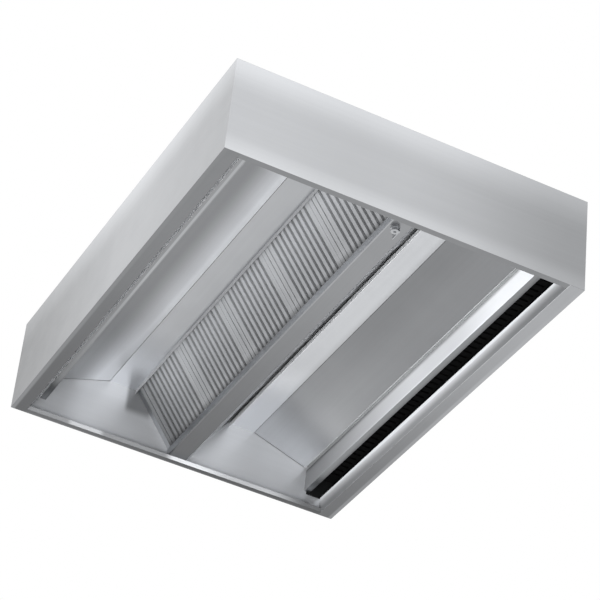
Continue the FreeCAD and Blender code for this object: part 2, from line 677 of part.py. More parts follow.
def grease_trough():
    """Open trough below the V, with bevelled lower edges, low ends and a drain hole."""
    wall = "trough_half_width"
    bevel = "trough_bevel"
    outer = (
        (wall, f"{FLOOR} + {bevel}"),
        (wall, TROUGH_TOP),
        (f"-{wall}", TROUGH_TOP),
        (f"-{wall}", f"{FLOOR} + {bevel}"),
        (f"{bevel} - {wall}", FLOOR),
        (f"{wall} - {bevel}", FLOOR),
    )
    step = "sheet * tan(22.5)"
    inner_wall = "(trough_half_width - sheet)"
    inner = (
        (inner_wall, f"{FLOOR} + {bevel} + {step}"),
        (inner_wall, f"{TROUGH_TOP} + sheet"),
        (f"-{inner_wall}", f"{TROUGH_TOP} + sheet"),
        (f"-{inner_wall}", f"{FLOOR} + {bevel} + {step}"),
        (f"{bevel} + {step} - {wall}", f"{FLOOR} + sheet"),
        (f"{wall} - {bevel} - {step}", f"{FLOOR} + sheet"),
    )
    solid = run("trough_block", outer, full_length())
    hollow = run("trough_hollow", inner, (f"-{TROUGH_INNER_END}", TROUGH_INNER_END))
    lowered = block("trough_low_ends", (f"-{HALF_LENGTH}", HALF_LENGTH), (f"-{inner_wall}", inner_wall),
                    (f"{FOOT_Z} - foot_clearance", f"{TROUGH_TOP} + sheet"))
    drain = rod("trough_drain_hole", "drain_thread_radius + drain_hole_clearance", "3 * sheet",
                DRAIN_X, DRAIN_Y, f"{FLOOR} - sheet")
    sheet_body = cut("trough_sheet", solid, fuse("trough_inside", [hollow, lowered]))
    piece("grease_trough", cut("trough_part", sheet_body, drain))


# ---------------------------------------------------------------- filters

def filter_frame():
    """Filter frame: a folded channel round the four edges."""
    half = "filter_width / 2"
    body = block("frame_block", (f"-{half}", half), (0, "filter_length"), (0, "filter_depth"))
    skin = "filter_sheet"
    cavity = block("frame_cavity", (f"{skin} - {half}", f"{half} - {skin}"),
                   (skin, f"filter_length - {skin}"), (skin, f"filter_depth - {skin}"))
    side = "frame_side_flange"
    end = "frame_end_flange"
    window = block("frame_window", (f"{side} - {half}", f"{half} - {side}"),
                   (end, f"filter_length - {end}"), (f"-{skin}", "filter_depth / 2"))
    back_window = block("frame_back_window", (f"frame_back_side - {half}", f"{half} - frame_back_side"),
                        ("frame_back_end", "filter_length - frame_back_end"),
                        ("filter_depth / 2", f"filter_depth + {skin}"))
    drains = []
    for step in range(FRAME_DRAINS):
        x = along(FRAME_DRAINS, step, "filter_width / 3")
        drains.append(cross_rod("frame_drain", "frame_drain_radius", f"3 * {skin}", x, f"-{skin}",
                                "filter_depth / 2"))
    hollow = fuse("frame_hollow", [cavity, window, back_window])
    return cut("filter_frame_sheet", cut("filter_frame_folded", body, hollow), group("frame_drains", drains))


def baffle(name, width, face, legs):
    """A baffle: a flat face with two folded legs, running up the slope."""
    half = f"{width} / 2"
    skin = "filter_sheet"
    start = f"({skin} + baffle_end_clearance)"
    ends = (start, f"(filter_length - {start})")
    return fuse(name, [
        block(f"{name}_face", (f"-{half}", half), ends, face),
        block(f"{name}_left", (f"-{half}", f"{skin} - {half}"), ends, legs),
        block(f"{name}_right", (f"{half} - {skin}", half), ends, legs),
    ])


def filter_baffles():
    """Front baffles with gaps, the outer two wider, and rear baffles that cover the gaps."""
    skin = "filter_sheet"
    front_inner = f"2 * {skin}"
    rear_inner = f"filter_depth - 2 * {skin}"
    front = baffle("front_baffle", "front_baffle_width", (skin, front_inner),
                   (front_inner, f"{front_inner} + baffle_leg"))
    rear = baffle("rear_baffle", "rear_baffle_width", (rear_inner, f"filter_depth - {skin}"),
                  (f"{rear_inner} - baffle_leg", rear_inner))
    last = baffle("end_baffle", "end_baffle_width", (skin, front_inner),
                  (front_inner, f"{front_inner} + baffle_leg"))
    last_x = f"{(FRONT_BAFFLES - 1) / 2} * baffle_pitch + (end_baffle_width - front_baffle_width) / 2"
    copies = [copy_at("end_baffle_left", last, f"-({last_x})"), copy_at("end_baffle_right", last, last_x)]
    for step in range(1, FRONT_BAFFLES - 1):
        x = f"({step - (FRONT_BAFFLES - 1) / 2}) * baffle_pitch"
        copies.append(copy_at("front_baffle_copy", front, x))
    for step in range(FRONT_BAFFLES - 1):
        x = f"({step - (FRONT_BAFFLES - 2) / 2}) * baffle_pitch"
        copies.append(copy_at("rear_baffle_copy", rear, x))
    return group("filter_baffle_set", copies)


def filters():
    """Both sides of the V; each filter is a frame and its set of baffles."""
    frame = filter_frame()
    baffles = filter_baffles()
    for step in range(FILTERS):
        x = f"({step - (FILTERS - 1) / 2}) * {PITCH}"
        for kind, master in (("frame", frame), ("baffles", baffles)):
            rear = tilt(copy_at(f"rear_{kind}_{step}", master, x, FOOT_Y, FOOT_Z), "filter_slope")
            piece(f"filter_rear_{step + 1}_{kind}", rear)
            piece(f"filter_front_{FILTERS - step}_{kind}", turned(f"front_{kind}_{step}", rear))


# ---------------------------------------------------------------- ducts and dampers

def collar(name, radius):
    """Duct collar with a flange on the roof."""
    outline = (
        (f"{radius} - sheet", 0),
        (f"{radius} + collar_flange", 0),
        (f"{radius} + collar_flange", "sheet"),
        (radius, "sheet"),
        (radius, "collar_height"),
        (f"{radius} - sheet", "collar_height"),
    )
    return turning(name, outline)


def collars():
    exhaust_sheet = collar("exhaust_collar_sheet", "exhaust_radius")
    supply_sheet = collar("supply_collar_sheet", "supply_radius")
    exhaust = copy_at("exhaust_collar_right_at", exhaust_sheet, "exhaust_offset", 0, TOP)
    supply = copy_at("supply_collar_rear_at", supply_sheet, 0, SUPPLY_Y, TOP)
    pair("exhaust_collar", exhaust, ("right", "left"))
    pair("supply_collar", supply)


def damper_slide(name, radius, x, y):
    """Damper slide, parked beside its opening, with a tab to pull it by."""
    half = f"({radius} + slide_overlap)"
    parked = f"({x} + {damper_travel(radius)})"
    low = f"({ROOF_UNDER} - guide_height + sheet + slide_float)"
    high = f"({low} + slide_sheet)"
    end = f"({parked} + {half})"
    tab_half = "pull_tab_width / 2"
    plate = block(f"{name}_plate", (f"{parked} - {half}", end), (f"{y} - {half}", f"{y} + {half}"),
                  (low, high))
    tab = block(f"{name}_tab", (end, f"{end} + slide_sheet"), (f"{y} - {tab_half}", f"{y} + {tab_half}"),
                (f"{low} - pull_tab_height", high))
    return fuse(f"{name}_slide_plate", [plate, tab])


def damper_travel(radius):
    return f"(2 * {radius} + slide_overlap + slide_park_gap)"


def damper_guides(name, radius, x, y):
    """The two folded rails under the roof that carry a damper slide."""
    half = f"({radius} + slide_overlap)"
    low = f"({ROOF_UNDER} - guide_height)"
    ends = (f"{x} - {half}", f"{x} + {damper_travel(radius)} + {half} + slide_sheet + guide_tail")
    flange_low = f"{ROOF_UNDER} - sheet"
    rails = []
    for side in (-1, 1):
        web = f"({y} + {side} * ({half} + slide_side_gap))"
        outer = f"({y} + {side} * ({half} + slide_side_gap + sheet))"
        lip = f"({y} + {side} * ({half} + slide_side_gap - guide_lip))"
        flange = f"({y} + {side} * ({half} + slide_side_gap + guide_flange))"
        rails.append(fuse(f"{name}_guide", [
            block(f"{name}_guide_web", ends, (web, outer)[::side], (low, ROOF_UNDER)),
            block(f"{name}_guide_lip", ends, (lip, outer)[::side], (low, f"{low} + sheet")),
            block(f"{name}_guide_flange", ends, (web, flange)[::side], (flange_low, ROOF_UNDER)),
        ]))
    return rails


def dampers():
    exhaust = ("exhaust", "exhaust_radius", "exhaust_offset", "0")
    supply = ("supply", "supply_radius", "0", SUPPLY_Y)
    pair("exhaust_slide", damper_slide(*exhaust), ("right", "left"))
    pair("supply_slide", damper_slide(*supply))
    built = group("guides_built", damper_guides(*exhaust) + damper_guides(*supply))
    piece("slide_guides", group("guides_all", [built, turned("guides_turned", built)]))


# ---------------------------------------------------------------- hanging

HANGER_X = f"({HALF_LENGTH} - hanger_inset_x)"
HANGER_Y = f"({HALF_DEPTH} - hanger_inset_y)"


def hanger_places():
    return [(f"{sx}{HANGER_X}", f"{sy}{HANGER_Y}") for sx in ("-", "") for sy in ("-", "")]


def bolt_places():
    reach = "(bracket_top + bracket_foot) / 2"
    return [(x, f"({y} {side} {reach})") for x, y in hanger_places() for side in ("-", "+")]


def hanger_brackets():
    """Hat-shaped brackets that hang on the rods."""
    top_half = "bracket_top / 2"
    foot_end = "(bracket_top / 2 + bracket_foot)"
    plate = "bracket_plate"
    crown = "(bracket_rise + bracket_plate)"
    outline = (
        (f"-{foot_end}", 0),
        (f"{plate} - {top_half}", 0),
        (f"{plate} - {top_half}", "bracket_rise"),
        (f"{top_half} - {plate}", "bracket_rise"),
        (f"{top_half} - {plate}", 0),
        (foot_end, 0),
        (foot_end, plate),
        (top_half, plate),
        (top_half, crown),
        (f"-{top_half}", crown),
        (f"-{top_half}", plate),
        (f"-{foot_end}", plate),
    )
    hat = run("bracket_hat", outline, ("-bracket_width / 2", "bracket_width / 2"))
    holes = [rod("hanger_hole", "hanger_hole_radius", f"3 * {plate}", 0, 0, f"bracket_rise - {plate}")]
    for side in ("-", "+"):
        holes.append(rod("foot_hole", "bolt_radius + bolt_hole_clearance", f"3 * {plate}", 0,
                         f"0 {side} (bracket_top + bracket_foot) / 2", f"-{plate}"))
    bracket = cut("bracket", hat, group("bracket_holes", holes))
    copies = [copy_at("bracket_copy", bracket, x, y, TOP) for x, y in hanger_places()]
    piece("hanger_brackets", group("brackets_all", copies))


def bracket_bolts():
    """Bolts and nuts through the brackets' feet and the roof."""
    nut_low = "(-sheet - bolt_nut_height)"
    head = hexagon("bolt_head", "bolt_head_across", "bolt_head_height", 0, 0, "bracket_plate")
    shank_low = f"({nut_low} - bolt_tail)"
    shank_length = f"bracket_plate + bolt_head_height / 2 - {shank_low}"
    shank = rod("bolt_shank", "bolt_radius", shank_length, 0, 0, shank_low)
    bolt = fuse("bolt", [head, shank])
    blank = hexagon("nut_blank", "bolt_head_across", "bolt_nut_height", 0, 0, nut_low)
    thread = rod("nut_thread", "bolt_radius + nut_clearance", "3 * bolt_nut_height", 0, 0,
                 f"{nut_low} - bolt_nut_height")
    nut = cut("nut", blank, thread)
    both = group("bolt_and_nut", [bolt, nut])
    copies = [copy_at("bolt_copy", both, x, y, TOP) for x, y in bolt_places()]
    piece("bracket_bolts", group("bolts_all", copies))


# ---------------------------------------------------------------- drain cock

def ball_of(name, radius):
    """A ball at the middle of the cock."""
    item = doc.addObject("Part::Sphere", name)
    item.setExpression("Radius", bound(radius))
    return place(item, DRAIN_X, DRAIN_Y, DRAIN_BALL_Z)


def drain_cock_body():
    """Threaded body of a quarter-turn cock, with its waterway and gland."""
    hexagon_low = f"({FLOOR} - drain_hexagon_height)"
    barrel_low = f"({hexagon_low} - drain_barrel_height)"
    outlet_low = f"({barrel_low} - drain_outlet_height)"
    solid = fuse("cock_solid", [
        rod("cock_thread", "drain_thread_radius", "drain_thread_length + drain_hexagon_height",
            DRAIN_X, DRAIN_Y, hexagon_low),
        hexagon("cock_hexagon", "drain_hexagon_across", "drain_hexagon_height",
                DRAIN_X, DRAIN_Y, hexagon_low),
        rod("cock_barrel", "drain_body_radius", "drain_barrel_height", DRAIN_X, DRAIN_Y, barrel_low),
        rod("cock_outlet", "drain_outlet_radius", "drain_outlet_height", DRAIN_X, DRAIN_Y, outlet_low),
        cross_rod("cock_gland", "drain_gland_radius", "drain_gland_reach", DRAIN_X, DRAIN_Y, DRAIN_BALL_Z),
    ])
    bore_length = f"({FLOOR} + drain_thread_length - {outlet_low} + 2 * sheet)"
    hollow = fuse("cock_hollow", [
        ball_of("cock_seat", "drain_ball_radius + drain_ball_clearance"),
        rod("cock_bore", "drain_bore_radius", bore_length, DRAIN_X, DRAIN_Y, f"{outlet_low} - sheet"),
        rod("cock_socket", "drain_socket_radius", "drain_socket_depth + sheet", DRAIN_X, DRAIN_Y,
            f"{outlet_low} - sheet"),
        cross_rod("cock_gland_bore", "drain_stem_radius + drain_stem_clearance",
                  "drain_gland_reach + sheet", DRAIN_X, DRAIN_Y, DRAIN_BALL_Z),
    ])
    piece("drain_cock_body", cut("cock_body", solid, hollow))


def drain_locknut():
    """Nut inside the trough that clamps the cock."""
    low = f"({FLOOR} + sheet)"
    blank = hexagon("locknut_blank", "drain_nut_across", "drain_nut_height", DRAIN_X, DRAIN_Y, low)
    thread = rod("locknut_thread", "drain_thread_radius + nut_clearance", "3 * drain_nut_height",
                 DRAIN_X, DRAIN_Y, f"{low} - drain_nut_height")
    piece("drain_locknut", cut("locknut", blank, thread))


def drain_cock_ball():
    """Bored ball and its stem; the bore lies across when closed."""
    way = rod("ball_way", "drain_bore_radius", "4 * drain_ball_radius")
    way.Placement.Rotation = FreeCAD.Rotation(FreeCAD.Vector(0, 1, 0), 90)
    place(way, f"{DRAIN_X} - 2 * drain_ball_radius", DRAIN_Y, DRAIN_BALL_Z)
    bored = cut("ball_bored", ball_of("ball_sphere", "drain_ball_radius"), way)
    root = f"({DRAIN_Y} + (drain_ball_radius + drain_bore_radius) / 2)"
    stem = cross_rod("ball_stem", "drain_stem_radius", f"{LEVER_FAR} - {root}", DRAIN_X, root, DRAIN_BALL_Z)
    piece("drain_cock_ball", fuse("ball_and_stem", [bored, stem]))


def drain_cock_lever():
    """Flat lever on the stem, along the trough when the cock is closed."""
    end = f"({DRAIN_X} - lever_length)"
    half = "lever_width / 2"
    before = f"{LEVER_NEAR} - lever_plate"
    plate = fuse("lever_plate_blank", [
        cross_rod("lever_boss", "lever_boss_radius", "lever_plate", DRAIN_X, LEVER_NEAR, DRAIN_BALL_Z),
        cross_rod("lever_tip", half, "lever_plate", end, LEVER_NEAR, DRAIN_BALL_Z),
        block("lever_arm", (end, DRAIN_X), (LEVER_NEAR, LEVER_FAR),
              (f"{DRAIN_BALL_Z} - {half}", f"{DRAIN_BALL_Z} + {half}")),
    ])
    holes = group("lever_holes", [
        cross_rod("lever_stem_hole", "drain_stem_radius + drain_stem_clearance", "3 * lever_plate",
                  DRAIN_X, before, DRAIN_BALL_Z),
        cross_rod("lever_tip_hole", "lever_hole_radius", "3 * lever_plate", end, before, DRAIN_BALL_Z),
    ])
    piece("drain_cock_lever", cut("lever", plate, holes))


def check_pieces():
    """Stops if anything in the document failed to build."""
    broken = [item.Name for item in doc.Objects if {"Invalid", "Error"} & set(item.State)]
    if broken:
        raise RuntimeError("failed: " + ", ".join(broken))
    for item in pieces:
        if item.Shape.isNull() or not item.Shape.isValid() or not item.Shape.Solids:
            raise RuntimeError("bad shape: " + item.Label)


def write_pieces():
    os.makedirs("parts", exist_ok=True)
    for item in pieces:
        item.Shape.exportStep(os.path.join("parts", item.Label + ".step"))


make_sheet()
side_walls()
end_walls()
roof()
plenum_faces()
plenum_backings()
sloped_panels()
panel_studs()
inner_ceilings()
air_diffusers()
filter_channels()
filter_rests()
bank_cheeks()
grease_trough()
filters()
collars()
dampers()
hanger_brackets()
bracket_bolts()
rivets()
drain_cock_body()
drain_locknut()
drain_cock_ball()
drain_cock_lever()
doc.recompute()
check_pieces()
write_pieces()
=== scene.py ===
"""Looks of the island exhaust hood: brushed stainless sheet, zinc-coated
roof parts and nickel-plated cock, in a pale studio, seen from below."""
import bpy
import math
from mathutils import Matrix, Vector

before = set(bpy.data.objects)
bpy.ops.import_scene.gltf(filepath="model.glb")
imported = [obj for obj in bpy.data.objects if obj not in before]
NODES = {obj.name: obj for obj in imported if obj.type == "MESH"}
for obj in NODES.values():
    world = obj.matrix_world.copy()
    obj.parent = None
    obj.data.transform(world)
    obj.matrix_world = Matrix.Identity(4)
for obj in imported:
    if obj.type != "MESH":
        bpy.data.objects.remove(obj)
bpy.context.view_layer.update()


# ------------------------------------------------------------ material kit

class Graph:
    """Small helper that adds shader nodes and links them."""

    def __init__(self, name):
        self.material = bpy.data.materials.new(name)
        self.material.use_nodes = True
        self.tree = self.material.node_tree
        self.tree.nodes.clear()
        self.place = self.add("ShaderNodeTexCoord").outputs["Object"]

    def add(self, kind, **settings):
        node = self.tree.nodes.new(kind)
        for key, value in settings.items():
            setattr(node, key, value)
        return node

    def feed(self, socket, value):
        if isinstance(value, bpy.types.NodeSocket):
            self.tree.links.new(value, socket)
        else:
            socket.default_value = value

    def math(self, operation, *values):
        node = self.add("ShaderNodeMath", operation=operation)
        for socket, value in zip(node.inputs, values):
            self.feed(socket, value)
        return node.outputs[0]

    def noise(self, scale, stretch=(1, 1, 1), detail=2.0):
        """Noise in row-frame metres, about 0.5, stretched along an axis."""
        mapping = self.add("ShaderNodeMapping")
        self.feed(mapping.inputs["Vector"], self.place)
        mapping.inputs["Scale"].default_value = stretch
        noise = self.add("ShaderNodeTexNoise")
        self.feed(noise.inputs["Vector"], mapping.outputs[0])
        noise.inputs["Scale"].default_value = scale
        noise.inputs["Detail"].default_value = detail
        return noise.outputs["Fac"]

    def around(self, value, middle, spread):
        """Turns a 0..1 noise into middle plus or minus spread."""
        node = self.add("ShaderNodeMapRange")
        self.feed(node.inputs["Value"], value)
        node.inputs["From Min"].default_value = 0.25
        node.inputs["From Max"].default_value = 0.75
        node.inputs["To Min"].default_value = middle - spread
        node.inputs["To Max"].default_value = middle + spread
        return node.outputs[0]

    def fade(self, axis, start, end, low, high):
        """A smooth change of tone along an axis of the object."""
        split = self.add("ShaderNodeSeparateXYZ")
        self.feed(split.inputs[0], self.place)
        node = self.add("ShaderNodeMapRange", interpolation_type="SMOOTHSTEP")
        self.feed(node.inputs["Value"], split.outputs["XYZ".index(axis)])
        for key, value in (("From Min", start), ("From Max", end), ("To Min", low), ("To Max", high)):
            node.inputs[key].default_value = value
        return node.outputs[0]

    def window(self, axis, low, high, soft=0.0003):
        """1 between two places along an axis of the object, 0 outside."""
        rise = self.fade(axis, low - soft, low, 0.0, 1.0)
        fall = self.fade(axis, high, high + soft, 1.0, 0.0)
        return self.math("MULTIPLY", rise, fall)

    def mask(self, windows):
        """1 where every window is open."""
        mask = 1.0
        for item in windows:
            mask = self.math("MULTIPLY", mask, self.window(*item))
        return mask

    def gain(self, fades):
        """The product of numbers and fades along the axes."""
        total = 1.0
        for item in fades:
            total = self.math("MULTIPLY", total, self.fade(*item) if isinstance(item, tuple) else item)
        return total

    def zone(self, value, windows, target):
        """Leads a value over to a target where every window is open."""
        change = self.math("SUBTRACT", target, value)
        return self.math("MULTIPLY_ADD", self.mask(windows), change, value)

    def zoned(self, level, metal, zones):
        """Tone and sheen with zones; a zone is a face as (windows, fades, metallic)."""
        start = metal
        for windows, fades, zone_metal in zones:
            level = self.zone(level, windows, self.gain(fades))
            if zone_metal != start:
                metal = self.zone(metal, windows, zone_metal)
        return level, metal

    def bump(self, height, distance, strength=1.0):
        node = self.add("ShaderNodeBump")
        self.feed(node.inputs["Height"], height)
        node.inputs["Distance"].default_value = distance
        node.inputs["Strength"].default_value = strength
        return node.outputs[0]

    def finish(self, colour, roughness, normal, metallic, **sockets):
        shader = self.add("ShaderNodeBsdfPrincipled")
        self.feed(shader.inputs["Base Color"], colour)
        self.feed(shader.inputs["Roughness"], roughness)
        self.feed(shader.inputs["Normal"], normal)
        self.feed(shader.inputs["Metallic"], metallic)
        for key, value in sockets.items():
            shader.inputs[key].default_value = value
        output = self.add("ShaderNodeOutputMaterial")
        self.tree.links.new(shader.outputs[0], output.inputs["Surface"])
        return self.material

    def tinted(self, tint, tone):
        """Scales a colour by a tone."""
        node = self.add("ShaderNodeMix", data_type="RGBA", blend_type="MULTIPLY")
        node.inputs["Factor"].default_value = 1.0
        combine = self.add("ShaderNodeCombineColor")
        for channel in ("Red", "Green", "Blue"):
            self.feed(combine.inputs[channel], tone)
        node.inputs[6].default_value = (*tint, 1.0)
        self.feed(node.inputs[7], combine.outputs[0])
        return node.outputs[2]


STEEL = (0.98, 1.0, 1.032)
ZINC = (0.97, 1.0, 1.02)
BRIGHTEST = 0.95       # highest tone a steel face may reach
STREAK_SPREAD = 0.018  # how far grain and cloud move the tone, as a share

GRAIN = {"X": (0.02, 1, 1), "Y": (1, 0.02, 1), "Z": (1, 1, 0.02)}


def brushed(name, tone, grain="X", roughness=0.34, fades=(), zones=(), metallic=1.0, **sockets):
    """Brushed sheet: long grain, faint streaks, handling marks and a soft tone; its fades and zones paint
    light and shade into the tone.
    """
    g = Graph(name)
    level, metal = g.zoned(g.gain((tone,) + tuple(fades)), metallic, zones)
    streaks = g.around(g.noise(55, GRAIN[grain], 3), 1.0, STREAK_SPREAD)
    cloud = g.around(g.noise(2.3, detail=3), 1.0, STREAK_SPREAD)
    level = g.math("MINIMUM", g.math("MULTIPLY", g.math("MULTIPLY", streaks, cloud), level), BRIGHTEST)
    fine = g.noise(900, GRAIN[grain], 2)
    marks = g.noise(9, detail=4)
    rough = g.math("ADD", g.around(marks, roughness, 0.03), g.around(fine, 0.0, 0.02))
    return g.finish(g.tinted(STEEL, level), rough, g.bump(fine, 0.00006, 0.35), metal, **sockets)


def zinc(name, tone, metallic=1.0, zones=()):
    """Hot-dip zinc: large soft spangles with their own brightness."""
    g = Graph(name)
    cells = g.add("ShaderNodeTexVoronoi", feature="F1")
    g.feed(cells.inputs["Vector"], g.place)
    cells.inputs["Scale"].default_value = 70
    grey = g.add("ShaderNodeSeparateColor")
    g.feed(grey.inputs[0], cells.outputs["Color"])
    spangle = g.around(grey.outputs["Red"], 1.0, 0.05)
    cloud = g.around(g.noise(3, detail=3), 1.0, 0.04)
    level, metal = g.zoned(tone, metallic, zones)
    level = g.math("MULTIPLY", g.math("MULTIPLY", spangle, cloud), level)
    rough = g.around(grey.outputs["Green"], 0.42, 0.06)
    return g.finish(g.tinted(ZINC, level), rough, g.bump(g.noise(240), 0.00004, 0.3), metal)


def blackened(name, tone):
    """Matt near-black finish with a fine orange-peel grain and dusty patches, used as painted shade inside
    the slots.
    """
    g = Graph(name)
    dust = g.around(g.noise(4, detail=4), 1.0, 0.2)
    level = g.math("MULTIPLY", dust, tone)
    rough = g.around(g.noise(160, detail=3), 0.8, 0.08)
    coat = {"Specular IOR Level": 0.1}
    return g.finish(g.tinted(STEEL, level), rough, g.bump(g.noise(500), 0.00004, 0.3), 0.0, **coat)


def plated(name, tone, roughness, tint):
    """Plated or turned metal with fine turning marks."""
    g = Graph(name)
    level = g.math("MULTIPLY", g.around(g.noise(120, (1, 1, 0.1), 3), 1.0, 0.03), tone)
    rough = g.around(g.noise(160, detail=3), roughness, 0.05)
    return g.finish(g.tinted(tint, level), rough, g.bump(g.noise(700, (1, 1, 0.1)), 0.00003, 0.3), 1.0)


def dress(prefix, material):
    """Gives every CAD node whose name starts so the material."""
    for name, node in NODES.items():
        if name.startswith(prefix):
            node.data.materials.clear()
            node.data.materials.append(material)


def soften_edges(node, width=0.0003, segments=2):
    """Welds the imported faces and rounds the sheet's edges a little."""
    weld = node.modifiers.new("weld", "WELD")
    weld.merge_threshold = 0.00002
    bevel = node.modifiers.new("edges", "BEVEL")
    bevel.width = width
    bevel.segments = segments
    bevel.limit_method = "ANGLE"
    bevel.angle_limit = math.radians(40)
    bevel.harden_normals = False


# ------------------------------------------------------------ finishes

# A window is (axis, low, high, softness) in metres, a fade (axis, start, end,
# tone at start, tone at end), and a zone (windows, tone with fades, metallic).

# The fades and zone tones below paint light and shade into the sheet: faces and strips made lighter or
# darker for how the light falls on them.
UNDERSIDE = ("Z", -0.01, 0.0004)
FRONT_SKIN = ("Y", -0.98, -0.9646)
RIGHT_SKIN = ("X", 1.2994, 1.31)
LEFT_INSIDE = ("X", -1.2992, -1.29)
FRONT_PLENUM = (("Y", -0.9642, -0.89), ("Z", 0.12, 0.55))
REAR_PLENUM = (("Y", 0.89, 0.9642), ("Z", 0.12, 0.55))
# near-black tone for the plenum's inner wall faces above the slots: painted shade
PLENUM_PAINTED_SHADE = (0.01,)
MATT = {"Specular IOR Level": 0.0}


def side_wall_front():
    # Painted light and shade. wall: the outer skin lighter and darker along X and Z; rim: a darker
    # underside tone, darker towards -X; edge: a painted lighter strip along the outer border of the
    # underside; inside the plenum: painted near-black shade.
    wall = (0.63, ("X", -1.5, 0.35, 0.44, 0.86), ("X", 0.2, 1.4, 1.0, 0.90), ("Z", 0.33, 0.56, 1.0, 1.42))
    rim_painted_shade = (0.6, ("X", -1.3, 0.9, 0.24, 0.44))
    edge_painted_light = (0.275,)
    return brushed("stainless_front", 0.6, **MATT, zones=(
        (FRONT_PLENUM, PLENUM_PAINTED_SHADE, 0.0), ((FRONT_SKIN,), wall, 1.0), ((UNDERSIDE,), rim_painted_shade, 1.0),
        ((UNDERSIDE, ("Y", -0.970, -0.950, 0.012)), edge_painted_light, 1.0)))


def side_wall_rear():
    # Painted light and shade. rim and edge: darker underside tones, lighter towards +X; riser: lighter
    # near its top, darker low down and towards both ends; inside the plenum: painted near-black shade.
    rim_painted_shade = (0.6, ("X", -1.5, 1.2, 0.27, 0.74))
    edge_painted_light = (1.0, ("X", -1.3, 0.6, 0.29, 0.46))
    riser_painted_light = (1.03, ("Z", 0.02, 0.1, 0.3, 0.8), ("Z", 0.07, 0.1, 1.0, 1.6),
             ("X", -1.4, -0.2, 0.6, 1.0), ("X", 0.1, 1.1, 1.0, 0.68))
    return brushed("stainless_rear", 0.6, **MATT, zones=(
        (REAR_PLENUM, PLENUM_PAINTED_SHADE, 0.0),
        ((("Y", 0.87, 0.8856), ("Z", 0.0, 0.11)), riser_painted_light, 0.25),
        ((UNDERSIDE,), rim_painted_shade, 1.0),
        ((UNDERSIDE, ("Y", 0.950, 0.970, 0.012)), edge_painted_light, 1.0)))


def end_wall_right():
    # Painted light and shade. wall: the outer skin darker towards +Y and lighter near the top and near the
    # lower border; rim: a darker underside tone.
    wall = (0.63, ("Y", -0.9, -0.2, 0.95, 0.87), ("Y", -0.1, 1.0, 1.0, 0.64),
            ("Z", 0.33, 0.56, 1.0, 1.36), ("Z", 0.0, 0.12, 1.22, 1.0))
    rim_painted_shade = (0.6, 0.47)
    return brushed("stainless_right", 0.6, "Y", zones=(
        ((RIGHT_SKIN,), wall, 1.0), ((UNDERSIDE,), rim_painted_shade, 1.0)))


def end_wall_left():
    # Painted light and shade. inner: the inside face lighter low down and varying along Y;
    # painted_shade_under_ceiling: a slightly darker flat tone below the ceiling, painted shade; corner: a
    # painted shadow beside the filters' end; lip: painted highlights on the upturned strip's inner face;
    # rim: a darker underside tone.
    inner = (0.75, ("Z", 0.0, 0.07, 1.12, 1.0), ("Y", -0.72, -0.56, 0.83, 1.0), ("Y", 0.3, 0.5, 0.88, 0.8),
             ("Y", 0.6, 0.8, 1.0, 1.15))
    painted_shade_under_ceiling = (LEFT_INSIDE, ("Y", -0.60, -0.34, 0.06), ("Z", 0.31, 0.40, 0.08))
    corner_painted_shadow = (LEFT_INSIDE, ("Y", -0.315, -0.20, 0.03), ("Z", 0.26, 0.38, 0.06))
    rim_painted_shade = (0.6, ("Y", -0.7, 0.2, 0.26, 0.18))
    lip = (0.26, ("Y", -0.66, -0.62, 1.0, 2.0), ("Y", -0.47, -0.43, 1.0, 0.5),
           ("Y", -0.08, -0.02, 1.0, 2.9), ("Y", 0.1, 0.35, 1.0, 0.62), ("Y", 0.55, 0.8, 1.0, 0.3))
    return brushed("stainless_left", 0.6, "Y", zones=(
        ((LEFT_INSIDE,), inner, 0.7),
        (painted_shade_under_ceiling, (0.72,), 0.7),
        (corner_painted_shadow, (0.29,), 0.7),
        ((("X", -1.2660, -1.2640), ("Z", 0.0, 0.0256)), lip, 0.0),
        # inside the rear plenum at this end: painted near-black shade
        ((LEFT_INSIDE, ("Y", 0.796, 0.97), ("Z", 0.10, 0.55)), (0.03,), 1.0),
        ((UNDERSIDE,), rim_painted_shade, 1.0)))


def plenum_faces():
    # Painted light and shade. lip_front_painted_shade: a dark underside tone, lighter towards +X; crease:
    # a painted highlight along the fold; hem_front_painted_light: a bright matt face standing in for light
    # in the shaded slot.
    lip_front_painted_shade = ((("Z", 0.11, 0.1175),), (0.3, ("X", -1.4, 1.2, 0.8, 1.15)), 1.0)
    crease_painted_highlight = ((("Z", 0.11, 0.1175), ("Y", -0.800, -0.790, 0.003)),
              (0.42, ("X", -1.0, 0.2, 0.65, 1.12)), 1.0)
    hem_front_painted_light = ((("Y", -0.8190, -0.8176), ("Z", 0.1176, 0.16)), (1.0,), 0.0)
    dress("plenum_face_front", brushed("stainless_face_front", 0.6, zones=(lip_front_painted_shade, crease_painted_highlight, hem_front_painted_light)))
    # Painted light and shade. lip_rear_painted_shade: a dark underside tone; face: the rear face darker
    # towards -X, lighter towards +X, darker along its top and lighter just above the underside.
    lip_rear_painted_shade = ((("Z", 0.11, 0.1175),), (0.35, ("Y", 0.8, 0.815, 1.0, 0.8)), 1.0)
    face = ((("Y", 0.78, 0.7838), ("Z", 0.118, 0.2495)),
            (1.0, ("X", -1.4, 0.0, 0.16, 0.7), ("X", 0.3, 0.9, 1.0, 1.4), ("Z", 0.22, 0.248, 1.0, 0.5),
             ("Z", 0.118, 0.14, 1.15, 1.0)), 0.1)
    dress("plenum_face_rear", brushed("stainless_face_rear", 0.6, zones=(face, lip_rear_painted_shade)))


